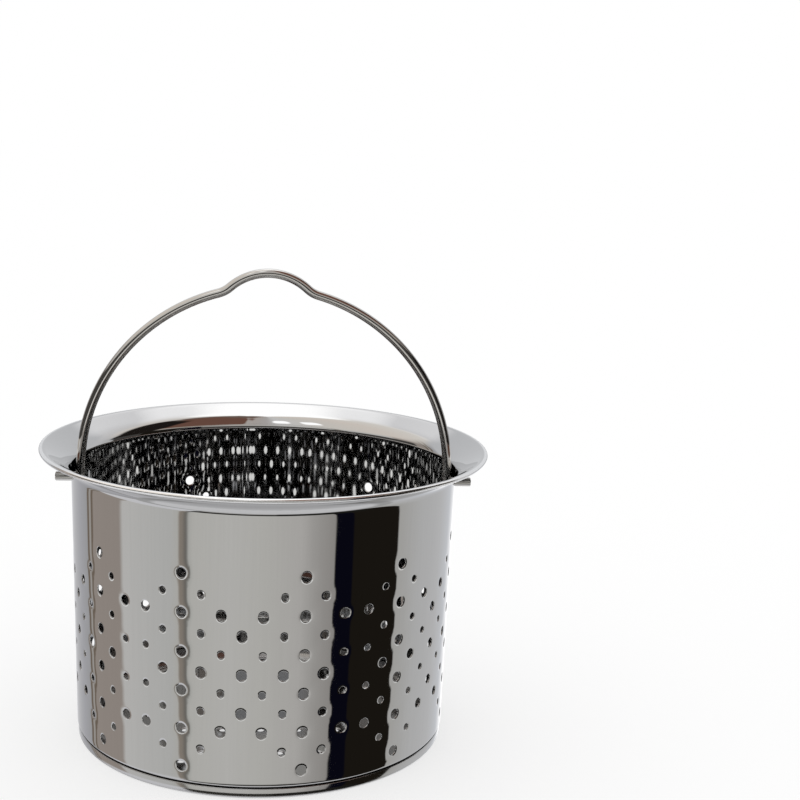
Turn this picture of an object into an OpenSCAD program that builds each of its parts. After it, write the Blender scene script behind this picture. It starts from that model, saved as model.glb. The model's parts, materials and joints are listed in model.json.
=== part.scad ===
// Basket strainer: a rolled and perforated wall with a flared rim, a seamed-on
// perforated base pan, and a swinging wire bail. Millimetres, +Z up, the origin is
// the centre of the base's underside, and the bail hinges about X.

/* [Wall] */
// Height from the base's underside to the top of the rim
height = 96; // [75:1:130]
// Outer diameter of the wall just under the flare
wall_top_d = 125.1; // [100:0.1:160]
// How much narrower the wall is at its lower edge, on the diameter
wall_taper = 3.8; // [0:0.1:8]
// Thickness of the sheet
sheet_t = 0.5; // [0.4:0.05:0.8]
// Radius of the curl at the wall's lower edge
edge_curl_r = 0.9; // [0.85:0.05:1.5]

/* [Rim] */
// Width of the flared rim beyond the wall, measured level
flare_w = 9.95; // [6:0.05:14]
// Slope of the flare above level, in degrees
flare_slope = 31; // [15:1:45]
// Radius of the bend from wall to flare, on its underside
flare_bend_r = 3; // [1.5:0.1:5]
// Diameter of the rolled edge
roll_d = 1.4; // [1.1:0.1:2.5]

/* [Perforation] */
// Diameter of the large holes
large_d = 3.2; // [2:0.1:4]
// Diameter of the small holes
small_d = 2.2; // [1:0.1:3]
// Distance between columns of holes, round the wall
column_pitch = 6.21; // [5:0.01:8]
// Distance between holes in a column
row_pitch = 12.17; // [9:0.01:15]
// Extra distance between one group of columns and the next
group_gap = 2; // [0:0.05:6]
// Height of the lowest holes' centres
lowest_row = 8.8; // [8.5:0.1:14]
// Plain height left below the rim
plain_top = 25; // [20:1:40]
// Plain width left at the weld of the rolled sheet
weld_margin = 16; // [8:1:30]
// Turn of the middle group from the front, in degrees
pattern_turn = -5.5; // [-30:0.5:30]

/* [Base pan] */
// Height of the exposed band below the wall
band_h = 3.2; // [2:0.1:6]
// Depth that the band is set in from the wall's lower edge
band_inset = 0.35; // [0.1:0.05:1]
// Open groove between the band and the wall's lower edge
groove_h = 0.4; // [0.1:0.05:1]
// Rounding of the base's lower corner
corner_r = 1.0; // [0.7:0.1:1.5]
// Height that the floor is raised inside the foot ring
floor_raise = 1.5; // [0.5:0.1:3]
// Width of the foot ring that the base stands on
foot_w = 4; // [2:0.5:8]
// Height of the skirt that stands inside the wall
skirt_h = 2.9; // [2:0.1:4]
// Gap between the skirt and the wall's curled edge
skirt_gap = 0.1; // [0.05:0.05:0.3]
// Diameter of the floor's holes
floor_hole_d = 3.2; // [2:0.1:4]
// Distance between the floor's holes
floor_pitch = 8.7; // [6:0.1:14]

/* [Bail] */
// Diameter of the wire
wire_d = 3.0; // [2:0.1:3.6]
// Gap between a leg of the bail and the wall's inside
leg_gap = 0.5; // [0.3:0.1:1.5]
// Height of the arc's centre above the hinge
arc_rise = 3.4; // [2.6:0.1:20]
// Radius of the bend from leg to pin
pin_bend_r = 2.1; // [2:0.1:3]
// Length of pin that stands out beyond the wall
pin_reach = 5.6; // [2:0.1:8]
// Radial clearance of a pin in its hole
pin_clearance = 0.08; // [0.02:0.01:0.1]
// Distance of the hinge below the top of the rim
hinge_drop = 11.8; // [11:0.1:20]
// Half width of the finger rise at the top of the arc
rise_half_w = 16; // [10:0.5:20]
// Radius of the bends at the foot of the finger rise
rise_foot_r = 9; // [5:0.5:15]
// Radius of the crest of the finger rise
rise_crest_r = 18.5; // [14:0.5:30]

/* [Hidden] */

edge_fn = 24;
round_fn = 180;
bend_steps = 8;

// Heights
seam_z = band_h + groove_h;
hinge_z = height - hinge_drop;

// Wall: half angle of its taper, and its outer radius at any height
wall_top_r = wall_top_d / 2;
wall_bottom_r = wall_top_r - wall_taper / 2;
rim_r = wall_top_r + flare_w;
taper_a = atan((wall_top_r - wall_bottom_r) / (height - seam_z));
function wall_r(z) = wall_bottom_r + (z - seam_z) * tan(taper_a);

// Flare: the bend's angles, and the level and upright runs of bend and slope
bend_from = 180 - taper_a;
bend_to = 90 + flare_slope;
roll_r = roll_d / 2;
bend_w = flare_bend_r * (cos(bend_to) - cos(bend_from));
bend_h = flare_bend_r * (sin(bend_to) - sin(bend_from));
slope_w = flare_w - roll_r - bend_w;
slope_h = slope_w * tan(flare_slope);
bend_start_z = height - roll_r - slope_h - bend_h;
bend_start_r = wall_r(bend_start_z);

// Perforation: a group is columns that rise, fall and rise again by half a row
group_columns = 11;
peak_columns = [2, 8];
group_pitch = group_columns * column_pitch + group_gap;
pattern_r = wall_r(height / 2);
hole_reach = 2 * wall_taper + 4 * sheet_t;
round_length = 2 * PI * pattern_r;
groups = floor((round_length + group_gap - weld_margin) / group_pitch);
rows = floor((height - plain_top - lowest_row) / row_pitch) + 1;
function turn(length) = length / round_length * 360;
function column_lift(c) = min([for (p = peak_columns) abs(c - p)]) / 2;
function column_rows(c) = rows - 2 * column_lift(c);
// A column holds large holes throughout, or in its middle, or at its ends
function is_large(c, i) =
    column_lift(c) == 0.5 ? abs(i - (column_rows(c) - 1) / 2) < 0.75 :
    column_lift(c) == 1 ? (i == 0 || i == column_rows(c) - 1) :
    true;

// Base pan
band_r = wall_bottom_r - band_inset;
skirt_r = wall_bottom_r - edge_curl_r - skirt_gap;
foot_outer_r = band_r - corner_r;
floor_r = foot_outer_r - foot_w - floor_raise;
floor_rows = ceil(floor_r / floor_pitch);

// Bail: the legs stand at the arc's radius, just inside the wall, and three tangent
// bends make the finger rise. Bends and straights stop a gap short of each other, and
// a ball that swells a hair beyond the wire closes each joint.
wire_r = wire_d / 2;
joint_gap = 0.05;
joint_swell = 0.02;
arc_r = wall_r(hinge_z) - sheet_t - leg_gap - wire_r;
pin_end = wall_r(hinge_z) + pin_reach;
rise_a = asin(rise_half_w / arc_r);
foot_x = (arc_r + rise_foot_r) * sin(rise_a);
foot_z = arc_rise + (arc_r + rise_foot_r) * cos(rise_a);
crest_a = asin(foot_x / (rise_foot_r + rise_crest_r));
crest_z = foot_z - (rise_foot_r + rise_crest_r) * cos(crest_a);

function arc_points(x, z, r, from, to, steps) =
    [for (i = [0:steps]) let (a = from + (to - from) * i / steps) [x + r * cos(a), z + r * sin(a)]];

// Sheet profile of the wall and flare, from the curled lower edge up to the roll
module wall_profile() {
    curl_x = wall_bottom_r - edge_curl_r;
    curl_z = seam_z + edge_curl_r;
    bend_x = bend_start_r + flare_bend_r * cos(taper_a);
    bend_z = bend_start_z - flare_bend_r * sin(taper_a);
    roll_x = rim_r - roll_r;
    roll_z = height - roll_r;
    slope = [cos(flare_slope), sin(flare_slope)];
    outside = concat(
        arc_points(curl_x, curl_z, edge_curl_r, -90, -taper_a, bend_steps),
        arc_points(bend_x, bend_z, flare_bend_r, bend_from, bend_to, bend_steps),
        [[roll_x, roll_z] + [slope[1], -slope[0]] * sheet_t / 2]
    );
    inside = concat(
        [[roll_x, roll_z] - [slope[1], -slope[0]] * sheet_t / 2],
        arc_points(bend_x, bend_z, flare_bend_r + sheet_t, bend_to, bend_from, bend_steps),
        arc_points(curl_x, curl_z, edge_curl_r - sheet_t, -taper_a, -90, bend_steps)
    );
    polygon(concat(outside, inside));
}

module wall_holes() {
    for (g = [0:groups - 1]) {
        for (c = [0:group_columns - 1]) {
            along = (g - floor((groups - 1) / 2)) * group_pitch
                + (c - (group_columns - 1) / 2) * column_pitch;
            rotate([0, 0, pattern_turn + turn(along)])
                for (i = [0:column_rows(c) - 1])
                    translate([0, 0, lowest_row + (i + column_lift(c)) * row_pitch])
                        rotate([90, 0, 0])
                            translate([0, 0, pattern_r])
                                cylinder(
                                    d = is_large(c, i) ? large_d : small_d,
                                    h = hole_reach, center = true, $fn = edge_fn
                                );
        }
    }
}

module wall_shell() {
    color("gainsboro")
        difference() {
            union() {
                rotate_extrude($fn = round_fn)
                    wall_profile();
                rotate_extrude($fn = round_fn)
                    translate([rim_r - roll_r, height - roll_r])
                        circle(r = roll_r, $fn = edge_fn);
            }
            wall_holes();
            translate([0, 0, hinge_z])
                rotate([0, 90, 0])
                    cylinder(r = wire_r + pin_clearance, h = 2 * rim_r, center = true, $fn = edge_fn);
        }
}

// Sheet profile of the pan: raised floor, foot ring, band, and skirt inside the wall
module pan_profile() {
    skirt_top = seam_z + skirt_h;
    outside = concat(
        [[0, floor_raise], [floor_r, floor_raise], [floor_r + floor_raise, 0]],
        arc_points(foot_outer_r, corner_r, corner_r, -90, 0, bend_steps),
        [[band_r, band_h], [skirt_r, band_h], [skirt_r, skirt_top]]
    );
    inside = concat(
        [[skirt_r - sheet_t, skirt_top], [skirt_r - sheet_t, band_h - sheet_t]],
        [[band_r - sheet_t, band_h - sheet_t]],
        arc_points(foot_outer_r, corner_r, corner_r - sheet_t, 0, -90, bend_steps),
        [[floor_r + floor_raise, sheet_t], [floor_r, floor_raise + sheet_t], [0, floor_raise + sheet_t]]
    );
    polygon(concat(outside, inside));
}

module floor_holes() {
    for (i = [-floor_rows:floor_rows]) {
        for (j = [-floor_rows:floor_rows]) {
            x = (i + j) * floor_pitch / sqrt(2);
            y = (i - j) * floor_pitch / sqrt(2);
            if (norm([x, y]) < floor_r - floor_hole_d)
                translate([x, y, 0])
                    cylinder(d = floor_hole_d, h = 2 * (floor_raise + sheet_t), $fn = edge_fn);
        }
    }
}

module base_pan() {
    color("silver")
        difference() {
            rotate_extrude($fn = round_fn)
                pan_profile();
            floor_holes();
        }
}

// A bend of the wire in the XZ plane, about [x, z], from one angle through another
module wire_bend(x, z, r, from, sweep) {
    cut_back = joint_gap / r * 180 / PI;
    translate([x, 0, z])
        rotate([90, 0, 0])
            rotate([0, 0, from + cut_back])
                rotate_extrude(angle = sweep - 2 * cut_back, $fn = round_fn)
                    translate([r, 0])
                        circle(r = wire_r, $fn = edge_fn);
}

// A straight length of the wire, along +Z from its place
module wire_length(length) {
    translate([0, 0, joint_gap])
        cylinder(r = wire_r, h = length - joint_gap, $fn = edge_fn);
}

module wire_joint(x, z) {
    translate([x, 0, z])
        sphere(r = wire_r + joint_swell, $fn = edge_fn);
}

module bail_side() {
    translate([arc_r, 0, pin_bend_r])
        wire_length(arc_rise - pin_bend_r - joint_gap);
    wire_bend(arc_r + pin_bend_r, pin_bend_r, pin_bend_r, 180, 90);
    translate([arc_r + pin_bend_r, 0, 0])
        rotate([0, 90, 0])
            wire_length(pin_end - arc_r - pin_bend_r);
    wire_bend(0, arc_rise, arc_r, 0, 90 - rise_a);
    wire_bend(foot_x, foot_z, rise_foot_r, 270 - crest_a, crest_a - rise_a);
    wire_joint(arc_r + pin_bend_r, 0);
    wire_joint(arc_r, pin_bend_r);
    wire_joint(arc_r, arc_rise);
    wire_joint(arc_r * sin(rise_a), arc_rise + arc_r * cos(rise_a));
    wire_joint(rise_crest_r * sin(crest_a), crest_z + rise_crest_r * cos(crest_a));
}

module bail() {
    color("lightgray")
        translate([0, 0, hinge_z]) {
            bail_side();
            mirror([1, 0, 0])
                bail_side();
            wire_bend(0, crest_z, rise_crest_r, 90 - crest_a, 2 * crest_a);
        }
}

wall_shell();
base_pan();
bail();
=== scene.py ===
"""Basket strainer: a perforated wall with a flared rim, its base pan and its wire bail. Metres."""

import json
import math

import bmesh
import bpy
from mathutils import Matrix, Vector


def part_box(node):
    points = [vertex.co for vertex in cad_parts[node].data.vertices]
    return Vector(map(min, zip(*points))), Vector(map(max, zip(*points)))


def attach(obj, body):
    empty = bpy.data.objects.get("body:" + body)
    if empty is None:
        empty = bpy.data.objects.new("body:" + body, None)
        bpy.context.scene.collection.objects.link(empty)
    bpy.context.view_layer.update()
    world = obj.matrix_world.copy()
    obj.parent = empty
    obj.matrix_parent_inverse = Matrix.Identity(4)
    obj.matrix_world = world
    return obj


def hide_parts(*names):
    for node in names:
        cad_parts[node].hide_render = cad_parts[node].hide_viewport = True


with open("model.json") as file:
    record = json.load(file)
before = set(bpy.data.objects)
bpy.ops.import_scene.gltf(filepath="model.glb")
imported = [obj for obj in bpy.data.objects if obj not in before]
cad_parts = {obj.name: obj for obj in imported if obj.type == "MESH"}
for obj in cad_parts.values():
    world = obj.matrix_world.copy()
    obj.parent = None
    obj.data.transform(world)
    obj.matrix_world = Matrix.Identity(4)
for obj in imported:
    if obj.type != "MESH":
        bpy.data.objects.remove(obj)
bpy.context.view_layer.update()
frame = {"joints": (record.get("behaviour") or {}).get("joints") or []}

MM = 0.001
CLOSE = 0.01 * MM
wall_low, wall_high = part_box("wall_shell")
pan_low, pan_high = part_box("base_pan")
bail_low, bail_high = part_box("bail")

# Keeps the finished surfaces, whose facets differ from the frame's, inside the frame's box
INSIDE = 0.02 * MM

# Wall and rim
RIM_R = wall_high.x - INSIDE
RIM_TOP = wall_high.z
SEAM_Z = wall_low.z
SHEET = 0.5 * MM
FLARE_W = 9.95 * MM
WALL_TAPER = 3.8 * MM
FLARE_H = 7.9 * MM
FLARE_BEND_R = 3.0 * MM
FLARE_EASE_R = 9.0 * MM
FLARE_EASE_A = 146
LIP_R = 3.2 * MM
ROLL_R = 0.7 * MM
ROLL_END = -150
CURL_R = 0.9 * MM
WALL_TOP_R = RIM_R - FLARE_W
FLARE_START = RIM_TOP - FLARE_H

# Perforation
LARGE_R = 1.6 * MM
SMALL_R = 1.1 * MM
COLUMN_PITCH = 6.21 * MM
ROW_PITCH = 12.17 * MM
GROUP_GAP = 2.0 * MM
LOWEST_ROW = 8.8 * MM
PATTERN_TURN = math.radians(-5.5)
GROUPS = 5
ROWS = 6
GROUP_COLUMNS = 11
PEAK_COLUMNS = (2, 8)
CELL_SIDES = 4
HOLE_SIDES = 4 * CELL_SIDES
DIMPLE = 0.028 * MM
DIMPLE_W = 0.75 * MM
CELL_H = ROW_PITCH / 2
CELL_ROWS = 2 * ROWS - 1
GROUP_PITCH = GROUP_COLUMNS * COLUMN_PITCH + GROUP_GAP
WELD_TURN = math.radians(-172.5)
WELD_RIDGE = 0.1 * MM

# A hole's drawn edge: how far each of its rings lies beyond the hole and below the sheet
DRAWN_EDGE = ((0.14 * MM, 0.012 * MM), (0.04 * MM, 0.05 * MM), (0, 0.12 * MM))

# Bail and hinge
HINGE_Z = frame["joints"][0]["pos_m"][2]
WIRE_R = 1.5 * MM
WIRE_SIDES = 24
PIN_HOLE_R = 1.58 * MM
PIN_HOLE_SIDES = 32
PIN_CHAMFER = 0.25 * MM
PIN_END = bail_high.x
LEG_GAP = 0.5 * MM
ARC_RISE = 3.4 * MM
PIN_BEND_R = 2.1 * MM
RISE_HALF_W = 16 * MM
RISE_FOOT_R = 9 * MM
RISE_CREST_R = 18.5 * MM

# Base pan
BAND_R = pan_high.x
BAND_H = 3.2 * MM
BAND_EDGE_R = 0.25 * MM
LEDGE_LOOP_W = 0.1 * MM
CORNER_R = 1.0 * MM
FLOOR_RAISE = 1.5 * MM
FOOT_W = 4.0 * MM
SKIRT_R = 59.65 * MM
SKIRT_TOP = pan_high.z
PAN_SIDES = 240
FLOOR_HOLE_R = 1.6 * MM
FLOOR_DRAW_W = 0.6 * MM
FLOOR_PITCH = 8.7 * MM
FLOOR_R = BAND_R - CORNER_R - FOOT_W - FLOOR_RAISE

# The step from the foot ring up to the floor, and the flat border that the floor starts with
STEP_EASE = 0.4 * MM
STEP_FOOT_H = 0.1 * MM
STEP_TOP_DROP = 0.3 * MM
FLOOR_BORDER = 0.5 * MM

# Camera: where it stands, its turn aside, its look down and its tilt in degrees, and its lens
CAMERA_PLACE = (0, -0.49585, 0.2058)
CAMERA_TURN = 5.01
CAMERA_DOWN = 10.73
CAMERA_TILT = 2.05
LENS = 69.57
SENSOR_W = 36


def wall_r(z):
    """Outer radius of the tapered wall at a height."""
    return WALL_TOP_R - WALL_TAPER / 2 * (RIM_TOP - z) / (RIM_TOP - SEAM_Z)


PATTERN_R = wall_r(RIM_TOP / 2)
TAPER_A = math.degrees(math.atan(WALL_TAPER / 2 / (RIM_TOP - SEAM_Z)))


# Modelling helpers


def deselect_all():
    for thing in bpy.context.selected_objects:
        thing.select_set(False)


def pick(piece):
    """Makes a piece the active one and the only one selected."""
    deselect_all()
    piece.select_set(True)
    bpy.context.view_layer.objects.active = piece


def edit(piece):
    pick(piece)
    bpy.ops.object.mode_set(mode="EDIT")


def done():
    bpy.ops.object.mode_set(mode="OBJECT")


def select_edges(piece, test):
    """In edit mode, selects just the edges that pass the test."""
    mesh = bmesh.from_edit_mesh(piece.data)
    bpy.ops.mesh.select_all(action="DESELECT")
    for edge in mesh.edges:
        if test(edge):
            edge.select_set(True)
    bmesh.update_edit_mesh(piece.data)


def border(test):
    """A test for open edges whose two ends pass another test."""
    return lambda edge: edge.is_boundary and all(test(v.co) for v in edge.verts)


def pull_edges(step, times=1):
    """Extrudes the selected edges by a step, as often as asked."""
    for _ in range(times):
        bpy.ops.mesh.extrude_edges_move(TRANSFORM_OT_translate={"value": step})


def run_ring(start, outline):
    """Extrudes the selected ring round Z through the (radius, height) points of an outline."""
    radius, height = start
    for next_radius, next_height in outline:
        pull_edges((0, 0, next_height - height))
        grow = next_radius / radius
        bpy.ops.transform.resize(value=(grow, grow, 1), center_override=(0, 0, 0))
        radius, height = next_radius, next_height


def on_circle(centre, radius, angle):
    """The point of a circle in the (radius, height) plane at an angle in degrees."""
    a = math.radians(angle)
    return (centre[0] + radius * math.cos(a), centre[1] + radius * math.sin(a))


def arc(centre, radius, start, end, steps):
    """Points that split an arc evenly, after its first, angles in degrees."""
    return [
        on_circle(centre, radius, start + (end - start) * step / steps)
        for step in range(1, steps + 1)
    ]


def line(start, end, steps):
    """Points that split a straight line evenly, after its first."""
    return [
        (
            start[0] + (end[0] - start[0]) * step / steps,
            start[1] + (end[1] - start[1]) * step / steps,
        )
        for step in range(1, steps + 1)
    ]


def finish_with(piece, kind, **settings):
    """Adds a modifier of that kind and applies it."""
    pick(piece)
    modifier = piece.modifiers.new(kind.lower(), kind)
    for name, value in settings.items():
        setattr(modifier, name, value)
    bpy.ops.object.modifier_apply(modifier=modifier.name)


def merge_doubles(piece):
    edit(piece)
    bpy.ops.mesh.select_all(action="SELECT")
    bpy.ops.mesh.remove_doubles(threshold=CLOSE)
    done()


def face_outwards(piece):
    edit(piece)
    bpy.ops.mesh.select_all(action="SELECT")
    bpy.ops.mesh.normals_make_consistent(inside=False)
    done()


def smooth(piece, angle):
    """Smooth shading, with edges sharper than the angle left sharp."""
    pick(piece)
    bpy.ops.object.shade_smooth_by_angle(angle=math.radians(angle))


def join(pieces, name):
    deselect_all()
    for piece in pieces:
        piece.select_set(True)
    bpy.context.view_layer.objects.active = pieces[0]
    bpy.ops.object.join()
    joined = bpy.context.view_layer.objects.active
    joined.name = name
    joined.data.name = name
    return joined


def settle(piece):
    """Moves a piece's place into its mesh."""
    pick(piece)
    bpy.ops.object.transform_apply(location=True, rotation=True, scale=True)


# Wall: a flat sheet of punched cells, rolled up, flared at the top and curled at the foot


def draw_in(flush_r, hole_r, depth=0):
    """Extrudes the selected ring of a flat sheet into a hole's edge, bent below the sheet."""
    outline = [(hole_r + beyond, -depth - drop) for beyond, drop in DRAWN_EDGE]
    run_ring((flush_r, -depth), outline)


def copies_at(source, places):
    """Copies of a modelled shape, each with its own mesh, and the shape itself removed."""
    copies = []
    for place in places:
        copy = bpy.data.objects.new("copy", source.data.copy())
        copy.location = place
        bpy.context.scene.collection.objects.link(copy)
        copies.append(copy)
    bpy.data.objects.remove(source)
    return copies


def plain_cell():
    """One oblong of sheet without a hole, which all the cells start from."""
    deselect_all()
    bpy.ops.mesh.primitive_grid_add(x_subdivisions=CELL_SIDES, y_subdivisions=CELL_SIDES, size=1)
    cell = bpy.context.object
    cell.scale = (COLUMN_PITCH, CELL_H, 1)
    settle(cell)
    return cell


def punched_cell(hole_r):
    """A cell with a round hole in a dimple, whose edge is drawn in a little."""
    cell = plain_cell()
    edit(cell)
    select_edges(cell, lambda edge: not edge.is_boundary)
    bpy.ops.mesh.delete(type="EDGE")
    bpy.ops.mesh.select_all(action="DESELECT")
    flush_r = hole_r + DIMPLE_W
    bpy.ops.mesh.primitive_circle_add(
        vertices=HOLE_SIDES, radius=flush_r, location=(0, 0, -DIMPLE)
    )
    bpy.ops.mesh.select_all(action="SELECT")
    bpy.ops.mesh.bridge_edge_loops()
    select_edges(cell, border(lambda co: co.length < hole_r + MM))
    draw_in(flush_r, hole_r, DIMPLE)
    done()
    return cell


def column_lift(column):
    """Half rows by which a column's holes start above the lowest row."""
    return min(abs(column - peak) for peak in PEAK_COLUMNS)


def hole_size(column, row):
    """The hole's radius in a cell of a group, or None where the cell is plain."""
    lift = column_lift(column)
    count = ROWS - lift
    index, odd = divmod(row - lift, 2)
    if odd or not 0 <= index < count:
        return None
    if lift == 1:
        # the middle hole or two
        large = abs(index - (count - 1) / 2) < 0.75
    elif lift == 2:
        large = index in (0, count - 1)
    else:
        large = True
    return LARGE_R if large else SMALL_R


def punched_group():
    """One group of columns, flat, with its left end at the group's first column."""
    cells = {
        LARGE_R: punched_cell(LARGE_R),
        SMALL_R: punched_cell(SMALL_R),
        None: plain_cell(),
    }
    places = {size: [] for size in cells}
    for column in range(GROUP_COLUMNS):
        along = (column - (GROUP_COLUMNS - 1) / 2) * COLUMN_PITCH
        for row in range(CELL_ROWS):
            places[hole_size(column, row)].append((along, LOWEST_ROW + row * CELL_H, 0))
    copies = [copy for size, cell in cells.items() for copy in copies_at(cell, places[size])]
    group = join(copies, "wall_visual")
    settle(group)
    merge_doubles(group)
    return group


def widen(sheet, axis, place, end):
    """Pulls the sheet's open edge at a place on an axis out to its end, in steps as on a cell."""
    steps = max(1, round(abs(end - place) / (COLUMN_PITCH / CELL_SIDES)))
    step = [0, 0, 0]
    step[axis] = (end - place) / steps
    select_edges(sheet, border(lambda co: abs(co[axis] - place) < CLOSE))
    pull_edges(step, steps)


def flat_sheet():
    """The whole wall before rolling: the groups side by side, with plain margins all round."""
    sheet = punched_group()
    half = GROUP_COLUMNS * COLUMN_PITCH / 2
    edit(sheet)
    select_edges(sheet, border(lambda co: co.x > half - CLOSE))
    pull_edges((GROUP_GAP, 0, 0))
    done()
    finish_with(
        sheet,
        "ARRAY",
        count=GROUPS,
        use_relative_offset=False,
        use_constant_offset=True,
        constant_offset_displace=(GROUP_PITCH, 0, 0),
        use_merge_vertices=True,
        merge_threshold=CLOSE,
    )
    first_group = PATTERN_TURN * PATTERN_R - (GROUPS // 2) * GROUP_PITCH
    sheet.location.x = first_group
    settle(sheet)
    left = first_group - half
    low = LOWEST_ROW - CELL_H / 2
    weld = WELD_TURN * PATTERN_R
    edit(sheet)
    widen(sheet, 0, left, weld)
    widen(sheet, 0, left + GROUPS * GROUP_PITCH, weld + 2 * math.pi * PATTERN_R)
    widen(sheet, 1, low, SEAM_Z + CURL_R)
    widen(sheet, 1, low + CELL_ROWS * CELL_H, FLARE_START)
    done()
    return sheet


def roll_up(sheet):
    """Rolls the flat sheet into the tapered wall: its length becomes the angle from the front."""
    ends = (WELD_TURN * PATTERN_R, (WELD_TURN + 2 * math.pi) * PATTERN_R)
    for vertex in sheet.data.vertices:
        along, height, lift = vertex.co
        if min(abs(along - end) for end in ends) < CLOSE:
            lift += WELD_RIDGE
        turn = along / PATTERN_R
        radius = wall_r(height) + lift
        vertex.co = (radius * math.sin(turn), -radius * math.cos(turn), height)
    merge_doubles(sheet)
    face_outwards(sheet)


def flare_outline():
    """The rim's underside: a bend that eases out, the slope, and the lip rolled over and under."""
    bend = on_circle((wall_r(FLARE_START), FLARE_START), FLARE_BEND_R, -TAPER_A)
    ease = on_circle(bend, FLARE_BEND_R - FLARE_EASE_R, FLARE_EASE_A)
    lip = (RIM_R - ROLL_R, RIM_TOP - LIP_R)
    roll = (RIM_R - ROLL_R, RIM_TOP - ROLL_R)
    lip_inner = LIP_R - SHEET
    across = Vector(lip) - Vector(ease)
    slope = math.degrees(
        math.atan2(across.y, across.x) - math.asin((FLARE_EASE_R - lip_inner) / across.length)
    )
    bend_points = arc(bend, FLARE_BEND_R, 180 - TAPER_A, FLARE_EASE_A, 8)
    bend_points += arc(ease, FLARE_EASE_R, FLARE_EASE_A, 90 + slope, 5)
    slope_points = line(bend_points[-1], on_circle(lip, lip_inner, 90 + slope), 6)
    lip_points = arc(lip, lip_inner, 90 + slope, 90, 6)
    roll_points = arc(roll, ROLL_R - SHEET, 90, ROLL_END, 14)
    return bend_points + slope_points + lip_points + roll_points


def pin_hole_cutter():
    """One bar through both sides of the wall, where the bail's pins go."""
    deselect_all()
    bpy.ops.mesh.primitive_cylinder_add(
        vertices=PIN_HOLE_SIDES,
        radius=PIN_HOLE_R,
        depth=2 * RIM_R,
        location=(0, 0, HINGE_Z),
        rotation=(0, math.pi / 2, 0),
    )
    return bpy.context.object


def make_wall():
    wall = flat_sheet()
    roll_up(wall)
    edit(wall)
    select_edges(wall, border(lambda co: co.z > FLARE_START - CLOSE))
    run_ring((wall_r(FLARE_START), FLARE_START), flare_outline())
    foot = SEAM_Z + CURL_R
    select_edges(wall, border(lambda co: co.z < foot + CLOSE))
    curl_centre = (wall_r(foot) - CURL_R, foot)
    run_ring((wall_r(foot), foot), arc(curl_centre, CURL_R, 0, -90, 8))
    done()
    finish_with(wall, "SOLIDIFY", thickness=SHEET, offset=-1, use_even_offset=True)
    face_outwards(wall)
    cutter = pin_hole_cutter()
    finish_with(wall, "BOOLEAN", object=cutter, operation="DIFFERENCE", solver="MANIFOLD")
    bpy.data.objects.remove(cutter)
    smooth(wall, 60)
    return wall


# Base pan: a ring run through its outline, with a floor of punched holes


def pan_outline():
    """Outside of the pan, from the top of its skirt down the band and under to the floor."""
    edge_r = BAND_R - BAND_EDGE_R
    foot_r = BAND_R - CORNER_R
    step_r = FLOOR_R + FLOOR_RAISE
    points = [(SKIRT_R, BAND_H), (SKIRT_R + LEDGE_LOOP_W, BAND_H), (edge_r, BAND_H)]
    points += arc((edge_r, BAND_H - BAND_EDGE_R), BAND_EDGE_R, 90, 0, 4)
    points += arc((foot_r, CORNER_R), CORNER_R, 0, -90, 8)
    points += line(points[-1], (step_r + STEP_EASE, 0), 2)
    points += [(step_r, STEP_FOOT_H), (FLOOR_R + STEP_EASE, FLOOR_RAISE - STEP_TOP_DROP)]
    points += [(FLOOR_R, FLOOR_RAISE), (FLOOR_R - FLOOR_BORDER, FLOOR_RAISE)]
    return points


def floor_places():
    """Centres of the floor's holes, on a square grid turned by half a right angle."""
    reach = math.ceil(FLOOR_R / FLOOR_PITCH)
    places = []
    for i in range(-reach, reach + 1):
        for j in range(-reach, reach + 1):
            x = (i + j) * FLOOR_PITCH / math.sqrt(2)
            y = (i - j) * FLOOR_PITCH / math.sqrt(2)
            if math.hypot(x, y) < FLOOR_R - 2 * FLOOR_HOLE_R:
                places.append((x, y))
    return places


def punched_collar():
    """The drawn edge of one floor hole, from the flat floor down into the hole."""
    deselect_all()
    flush_r = FLOOR_HOLE_R + FLOOR_DRAW_W
    bpy.ops.mesh.primitive_circle_add(vertices=HOLE_SIDES, radius=flush_r)
    collar = bpy.context.object
    edit(collar)
    bpy.ops.mesh.select_all(action="SELECT")
    draw_in(flush_r, FLOOR_HOLE_R)
    done()
    return collar


def make_pan():
    deselect_all()
    bpy.ops.mesh.primitive_circle_add(
        vertices=PAN_SIDES, radius=SKIRT_R, location=(0, 0, SKIRT_TOP)
    )
    ring = bpy.context.object
    settle(ring)
    edit(ring)
    bpy.ops.mesh.select_all(action="SELECT")
    run_ring((SKIRT_R, SKIRT_TOP), pan_outline())
    done()
    collar = punched_collar()
    collars = copies_at(collar, [(x, y, FLOOR_RAISE) for x, y in floor_places()])
    pan = join([ring] + collars, "base_visual")
    settle(pan)
    edit(pan)
    select_edges(pan, border(lambda co: abs(co.z - FLOOR_RAISE) < CLOSE))
    bpy.ops.mesh.fill()
    done()
    face_outwards(pan)
    finish_with(pan, "SOLIDIFY", thickness=SHEET, offset=-1, use_even_offset=True)
    smooth(pan, 60)
    return pan


# Bail: a round of wire run through straights and bends


def bend_wire(centre, angle, steps):
    """Turns the wire's end about a centre (x, z), by an angle in degrees."""
    bpy.ops.mesh.spin(
        steps=steps,
        angle=-math.radians(angle),
        center=(centre[0], 0, centre[1]),
        axis=(0, 1, 0),
    )


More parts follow.
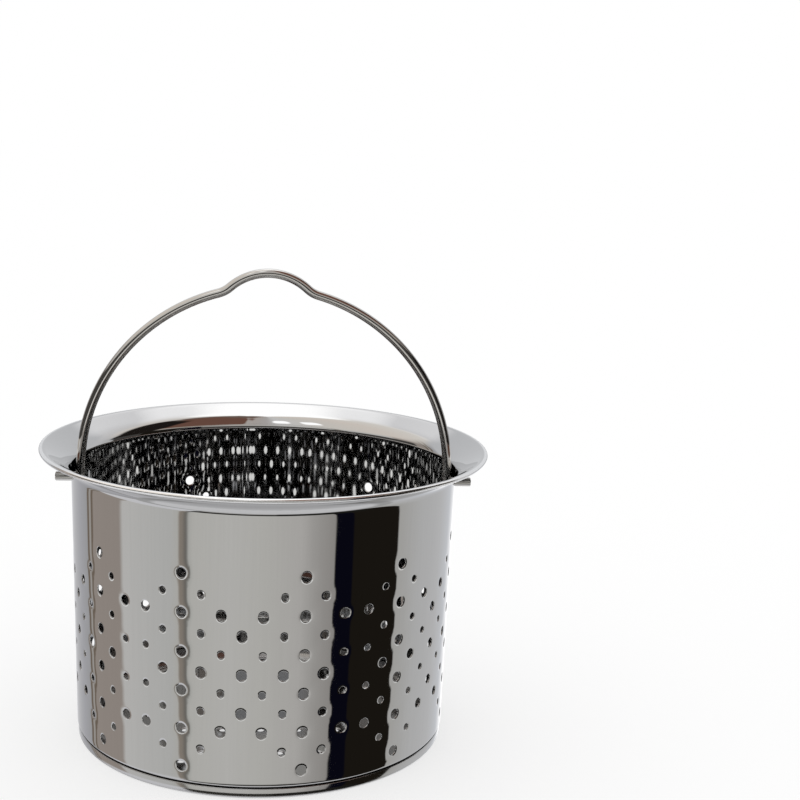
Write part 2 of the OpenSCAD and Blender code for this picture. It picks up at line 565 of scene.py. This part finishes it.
def make_bail():
    """Half the wire, from the end of its pin over to the crest, then mirrored."""
    arc_r = wall_r(HINGE_Z) - SHEET - LEG_GAP - WIRE_R
    arc_z = HINGE_Z + ARC_RISE
    rise_a = math.asin(RISE_HALF_W / arc_r)
    foot = (
        (arc_r + RISE_FOOT_R) * math.sin(rise_a),
        arc_z + (arc_r + RISE_FOOT_R) * math.cos(rise_a),
    )
    crest_a = math.asin(foot[0] / (RISE_FOOT_R + RISE_CREST_R))
    crest_z = foot[1] - (RISE_FOOT_R + RISE_CREST_R) * math.cos(crest_a)
    deselect_all()
    bpy.ops.mesh.primitive_circle_add(
        vertices=WIRE_SIDES,
        radius=WIRE_R,
        location=(PIN_END - PIN_CHAMFER, 0, HINGE_Z),
        rotation=(0, math.pi / 2, 0),
    )
    bail = bpy.context.object
    bail.name = "bail_visual"
    settle(bail)
    edit(bail)
    bpy.ops.mesh.select_all(action="SELECT")
    end = (PIN_END, 0, HINGE_Z)
    pull_edges((PIN_CHAMFER, 0, 0))
    shrink = 1 - PIN_CHAMFER / WIRE_R
    bpy.ops.transform.resize(value=(1, shrink, shrink), center_override=end)
    bpy.ops.mesh.edge_face_add()
    select_edges(bail, border(lambda co: True))
    pull_edges((arc_r + PIN_BEND_R - PIN_END + PIN_CHAMFER, 0, 0))
    bend_wire((arc_r + PIN_BEND_R, HINGE_Z + PIN_BEND_R), 90, 10)
    pull_edges((0, 0, ARC_RISE - PIN_BEND_R))
    bend_wire((0, arc_z), math.degrees(rise_a) - 90, 40)
    bend_wire(foot, math.degrees(crest_a - rise_a), 12)
    bend_wire((0, crest_z), -math.degrees(crest_a), 16)
    done()
    finish_with(bail, "MIRROR", merge_threshold=CLOSE)
    face_outwards(bail)
    smooth(bail, 40)
    return bail


# Shaders


class Number:
    """A shader value. Arithmetic on it adds Math nodes."""

    def __init__(self, shader, socket):
        self.shader = shader
        self.socket = socket

    def output(self, name):
        """Another output of the node that this value comes from."""
        return Number(self.shader, self.socket.node.outputs[name])

    def maths(self, operation, *others):
        return self.shader.node("ShaderNodeMath", {"operation": operation}, (self, *others))

    def between(self, low, high):
        """0 up to low, 1 from high, and smooth from one to the other."""
        settings = {"interpolation_type": "SMOOTHSTEP"}
        return self.shader.node("ShaderNodeMapRange", settings, (self, low, high, 0, 1))

    def __add__(self, other):
        return self.maths("ADD", other)

    __radd__ = __add__

    def __sub__(self, other):
        return self.maths("SUBTRACT", other)

    def __rsub__(self, other):
        return other + self * -1

    def __mul__(self, other):
        return self.maths("MULTIPLY", other)

    __rmul__ = __mul__

    def __truediv__(self, other):
        return self.maths("DIVIDE", other)


class Shader:
    """The nodes of a material or a world, made anew."""

    def __init__(self, owner):
        owner.use_nodes = True
        self.tree = owner.node_tree
        self.tree.nodes.clear()

    def node(self, kind, settings=None, inputs=(), output=0):
        """Adds a node: its settings first, then the values or links of its inputs."""
        made = self.tree.nodes.new(kind)
        for name, value in (settings or {}).items():
            if name == "stops":
                self.set_stops(made.color_ramp, value)
            else:
                setattr(made, name, value)
        named = inputs.items() if isinstance(inputs, dict) else enumerate(inputs)
        for place, value in named:
            if isinstance(value, Number):
                self.tree.links.new(value.socket, made.inputs[place])
            else:
                made.inputs[place].default_value = value
        return Number(self, made.outputs[output])

    def set_stops(self, ramp, stops):
        for _ in stops[2:]:
            ramp.elements.new(1)
        for element, (place, colour) in zip(ramp.elements, stops):
            element.position = place
            element.color = (*colour, 1)

    def mix(self, factor, first, second):
        """A mix of two colours."""
        made = self.node(
            "ShaderNodeMix", {"data_type": "RGBA"}, {"Factor": factor}, output=2
        )
        for place, colour in ((6, first), (7, second)):
            if isinstance(colour, Number):
                self.tree.links.new(colour.socket, made.socket.node.inputs[place])
            else:
                made.socket.node.inputs[place].default_value = (*colour, 1)
        return made

    def finish(self, surface, kind="Material"):
        output = self.tree.nodes.new("ShaderNodeOutput" + kind)
        self.tree.links.new(surface.socket, output.inputs["Surface"])


SHEET_GREY = 0.62


def seen(red, green, blue):
    """Light that polished sheet shows as that display colour, each from 0 to 255."""
    linear = [((c / 255 + 0.055) / 1.055) ** 2.4 for c in (red, green, blue)]
    return [c / SHEET_GREY for c in linear]


# What stands round the object: the turn from the front, in degrees, and its tone
STUDIO_LEFT = (
    (-180, seen(214, 214, 216)),
    (-170, seen(180, 180, 183)),
    (-156, seen(162, 162, 164)),
    (-140, seen(150, 150, 154)),
    (-129, seen(145, 145, 147)),
    (-128, seen(100, 90, 80)),
    (-126.5, seen(100, 90, 80)),
    (-125.5, seen(146, 142, 138)),
    (-124, seen(146, 142, 138)),
    (-123, seen(100, 90, 80)),
    (-121.5, seen(100, 90, 80)),
    (-120.5, seen(136, 128, 122)),
    (-94, seen(136, 128, 122)),
    (-91, seen(174, 173, 171)),
    (-56, seen(166, 166, 164)),
    (-51.2, seen(165, 164, 160)),
    (-50.2, seen(126, 118, 109)),
    (-48.5, seen(122, 115, 107)),
    (-46, seen(96, 94, 90)),
    (-44.3, seen(160, 160, 156)),
    (-42, seen(169, 168, 164)),
    (-20, seen(172, 171, 168)),
    (0, seen(168, 167, 163)),
)
STUDIO_RIGHT = (
    (0, seen(168, 167, 163)),
    (22, seen(162, 160, 157)),
    (30, seen(147, 145, 142)),
    (42, seen(133, 130, 127)),
    (86.5, seen(155, 154, 151)),
    (107, seen(166, 166, 166)),
    (131, seen(170, 170, 171)),
    (148, seen(176, 178, 182)),
    (158, seen(209, 209, 211)),
    (172, seen(250, 250, 250)),
    (180, seen(214, 214, 216)),
)

# The ceiling, in the same way: white behind, pale to the left and brown to the right
CEILING_LEFT = (
    (-180, seen(254, 254, 254)),
    (-168, seen(252, 252, 252)),
    (-150, seen(226, 226, 227)),
    (-135, seen(200, 196, 190)),
    (-100, seen(196, 188, 180)),
    (-50, seen(190, 186, 180)),
    (-10, seen(186, 185, 184)),
    (0, seen(160, 156, 154)),
)
CEILING_RIGHT = (
    (0, seen(160, 156, 154)),
    (20, seen(160, 152, 146)),
    (60, seen(146, 136, 128)),
    (95, seen(156, 146, 138)),
    (120, seen(192, 187, 182)),
    (135, seen(208, 206, 204)),
    (150, seen(226, 226, 227)),
    (168, seen(252, 252, 252)),
    (180, seen(254, 254, 254)),
)

# Where the walls pass into the ceiling, in degrees above level
WALL_TOP_RISE = (20, 38)

# Cards: the middle's turn and rise, half the width and height, the corners' radius and the
# width of the soft edge, all in degrees, and the tone
CARDS = (
    # the brightest of the ceiling, high up behind the object
    (180, 79, 50, 13, 6, 8, seen(255, 255, 255)),
    # the lower part of the backdrop
    (171, 26, 46, 25, 1, 12, seen(180, 180, 182)),
    # the brown ceiling beyond the camera's right
    (72, 77, 44, 13, 8, 5, seen(98, 82, 74)),
    # the same ceiling lower down, and the dark wall that it meets
    (58, 58, 42, 20, 8, 6, seen(98, 70, 60)),
    (97, 38, 18, 26, 8, 6, seen(26, 22, 20)),
    # two lamps overhead
    (-14, 62, 8, 6, 5, 3, seen(255, 255, 255)),
    (-42, 60, 9, 5, 4, 3, seen(255, 255, 255)),
    # the grey foot of the backdrop
    (180, 10, 46, 22, 4, 8, seen(174, 175, 177)),
    (180, -6, 70, 3.7, 2, 2, seen(112, 112, 114)),
    # a dim wall at the level of the object, and a lit strip below it that shines in at the holes
    (0, 6, 110, 14, 2, 3, seen(60, 58, 56)),
    (0, -11, 112, 3.2, 2, 1, seen(204, 204, 202)),
    # the black screen to the right, with its blue-black side
    (64.5, -11, 22, 40, 13, 1.5, seen(23, 20, 16)),
    (48.3, -11, 5.6, 38, 5, 1.5, seen(7, 7, 17)),
    # the pale floor to the left
    (-87, -61, 40, 31, 2, 4, seen(186, 186, 189)),
    # the dark edge of the table, thin to the left and deep to the right
    (0, -33, 50, 2, 2, 1.5, seen(64, 62, 60)),
    (8, -39, 56, 8, 4, 2, seen(40, 39, 36)),
    (38, -41, 30, 10, 5, 2.5, seen(24, 23, 21)),
    # the table top
    (0, -90, 181, 40, 1, 3, seen(144, 144, 144)),
    (0, -90, 181, 34, 1, 5, seen(192, 192, 194)),
)


def around(shader, turn, left, right):
    """The tone at a turn from the front, in degrees, from two lists that meet at the front."""
    sides = []
    for stops, shift in ((left, 1), (right, 0)):
        ramp = [(degrees / 180 + shift, colour) for degrees, colour in stops]
        sides.append(shader.node("ShaderNodeValToRGB", {"stops": ramp}, (turn / 180 + shift,)))
    return shader.mix(turn.maths("GREATER_THAN", 0), *sides)


def beyond(value, half):
    """How far a value lies from zero past half a span, or zero within it."""
    return (value.maths("ABSOLUTE") - half).maths("MAXIMUM", 0)


def with_card(light, turn, rise, card):
    """The light with a round-cornered card in front of it."""
    middle_turn, middle_rise, half_w, half_h, corner, soft, tone = card
    across = (turn - middle_turn).maths("WRAP", 180, -180)
    out_w = beyond(across, half_w - corner)
    out_h = beyond(rise - middle_rise, half_h - corner)
    out = (out_w * out_w + out_h * out_h).maths("SQRT")
    outside = out.between(corner - soft / 2, corner + soft / 2)
    return light.shader.mix(outside, tone, light)


def light_studio():
    """A white room. Polished metal mirrors its walls, ceiling and cards in their own tones."""
    world = bpy.data.worlds.new("studio")
    bpy.context.scene.world = world
    shader = Shader(world)
    direction = shader.node("ShaderNodeTexCoord", output="Generated")
    x = shader.node("ShaderNodeSeparateXYZ", inputs=(direction,))
    degree = math.radians(1)
    turn = x.maths("ARCTAN2", 0 - x.output("Y")) / degree
    rise = x.output("Z").maths("ARCSINE") / degree
    walls = around(shader, turn, STUDIO_LEFT, STUDIO_RIGHT)
    ceiling = around(shader, turn, CEILING_LEFT, CEILING_RIGHT)
    mirrored = shader.mix(rise.between(*WALL_TOP_RISE), walls, ceiling)
    for card in CARDS:
        mirrored = with_card(mirrored, turn, rise, card)
    ray = shader.node("ShaderNodeLightPath", output="Is Glossy Ray")
    light = shader.mix(ray, (1, 1, 1), mirrored)
    shader.finish(shader.node("ShaderNodeBackground", inputs=(light, 1)), "World")


FLOOR_GLOW = 0.6
FLOOR_W = 12


def white_floor():
    """Matt white. The camera sees it partly glow, which leaves a faint shadow on white."""
    material = bpy.data.materials.new("floor")
    shader = Shader(material)
    matt = shader.node("ShaderNodeBsdfDiffuse", inputs=((1, 1, 1, 1),))
    glow = shader.node("ShaderNodeEmission", inputs=((1, 1, 1, 1), 1))
    camera_ray = shader.node("ShaderNodeLightPath", output="Is Camera Ray")
    inputs = (FLOOR_GLOW * camera_ray, matt, glow)
    shader.finish(shader.node("ShaderNodeMixShader", inputs=inputs))
    return material


def lay_floor():
    """The floor, left out of reflections because the studio's table top stands for it."""
    deselect_all()
    bpy.ops.mesh.primitive_plane_add(size=FLOOR_W)
    floor = bpy.context.object
    floor.name = "floor"
    floor.data.materials.append(white_floor())
    floor.visible_glossy = False


# Finishes


def begin_finish(name):
    """A material, its shader, and the place on the piece that its patterns follow."""
    material = bpy.data.materials.new(name)
    shader = Shader(material)
    return material, shader, shader.node("ShaderNodeTexCoord", output="Object")


def radius_and_height(shader, place):
    """How far a place lies from the basket's axis, and above its foot."""
    x = shader.node("ShaderNodeSeparateXYZ", inputs=(place,))
    y = x.output("Y")
    return (x * x + y * y).maths("SQRT"), x.output("Z")


def noise(shader, place, scale, detail=2):
    return shader.node(
        "ShaderNodeTexNoise", inputs={"Vector": place, "Scale": scale, "Detail": detail}
    )


def finish_metal(shader, red, green, blue, roughness, **more):
    """Ends a shader as bare metal of that colour."""
    colour = shader.node("ShaderNodeCombineColor", inputs=(red, green, blue))
    inputs = {"Base Color": colour, "Metallic": 1, "Roughness": roughness, **more}
    shader.finish(shader.node("ShaderNodeBsdfPrincipled", inputs=inputs))


def polished_sheet():
    """Mirror-rolled stainless sheet: faint upright rolling lines, and a rougher rim with a painted
    highlight.
    """
    material, shader, place = begin_finish("polished_sheet")
    radius, _ = radius_and_height(shader, place)
    # the rolled lip's band, which carries a painted highlight and is made rougher
    edge = radius.between(RIM_R - 1.3 * MM, RIM_R - 0.8 * MM)
    upright = shader.node("ShaderNodeMapping", inputs={"Vector": place, "Scale": (1, 1, 0.02)})
    lines = noise(shader, upright, 1200, detail=3)
    smudge = noise(shader, place, 45).between(0.4, 0.75)
    waves = noise(shader, place, 30, detail=1)
    bump = {"Height": waves, "Strength": 0.3, "Distance": 0.2 * MM}
    # painted highlight: the lip's colour is raised by 0.33 so that it shines brighter
    grey = SHEET_GREY * (0.97 + 0.06 * lines) + 0.33 * edge
    roughness = 0.012 + 0.03 * smudge + 0.02 * lines + 0.12 * edge
    uneven = shader.node("ShaderNodeBump", inputs=bump)
    finish_metal(shader, grey, grey, grey, roughness, Normal=uneven)
    return material


def base_sheet():
    """Pressed stainless sheet: painted shade darkens its groove and its floor; the groove and its
    lower corner are rougher.
    """
    material, shader, place = begin_finish("base_sheet")
    radius, height = radius_and_height(shader, place)
    # the groove under the wall's curl, darkened almost to black as painted shade, and made rougher
    shaded_groove = height.between(BAND_H - 0.1 * MM, BAND_H) * radius.between(SKIRT_R - MM, SKIRT_R)
    # the pan's floor inside the foot ring, darkened as painted shade
    floor = 1 - radius.between(FLOOR_R - MM, FLOOR_R)
    corner = 1 - height.between(0.7 * CORNER_R, 1.3 * CORNER_R)
    smudge = noise(shader, place, 80)
    # painted shade: the groove's colour is cut by 93% and the floor's by 35%
    grey = (0.58 + 0.04 * smudge) * (1 - 0.93 * shaded_groove) * (1 - 0.35 * floor)
    roughness = 0.06 + 0.05 * smudge + 0.4 * shaded_groove + 0.2 * corner
    finish_metal(shader, grey, grey, grey, roughness)
    return material


def bail_wire():
    """Drawn stainless wire, a little warmer than the sheet."""
    material, shader, place = begin_finish("bail_wire")
    smudge = noise(shader, place, 300)
    grey = 0.58 + 0.06 * smudge
    finish_metal(shader, grey, 0.98 * grey, 0.95 * grey, 0.04 + 0.06 * smudge)
    return material


# Scene


def dress(piece, material, node, body):
    """Gives a piece its finish, and sets it in the place of its CAD node."""
    piece.data.materials.clear()
    piece.data.materials.append(material)
    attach(piece, body)
    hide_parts(node)


def see_from_front():
    """A long lens a little above the rim, turned slightly aside and tilted a little."""
    turn, down, tilt = (math.radians(a) for a in (CAMERA_TURN, CAMERA_DOWN, CAMERA_TILT))
    ahead = Vector(
        (
            math.sin(turn) * math.cos(down),
            math.cos(turn) * math.cos(down),
            -math.sin(down),
        )
    )
    right = Vector((math.cos(turn), -math.sin(turn), 0))
    up = right.cross(ahead)
    across = right * math.cos(tilt) + up * math.sin(tilt)
    above = up * math.cos(tilt) - right * math.sin(tilt)
    camera = bpy.data.objects.new("camera", bpy.data.cameras.new("camera"))
    bpy.context.scene.collection.objects.link(camera)
    camera.data.lens = LENS
    camera.data.sensor_width = SENSOR_W
    camera.data.clip_start = 0.01
    place = Matrix((across, above, -ahead)).transposed().to_4x4()
    place.translation = CAMERA_PLACE
    camera.matrix_world = place
    bpy.context.scene.camera = camera


see_from_front()
light_studio()
lay_floor()
dress(make_wall(), polished_sheet(), "wall_shell", "basket")
dress(make_pan(), base_sheet(), "base_pan", "basket")
dress(make_bail(), bail_wire(), "bail", "bail")

bpy.context.scene.view_settings.view_transform = "Standard"
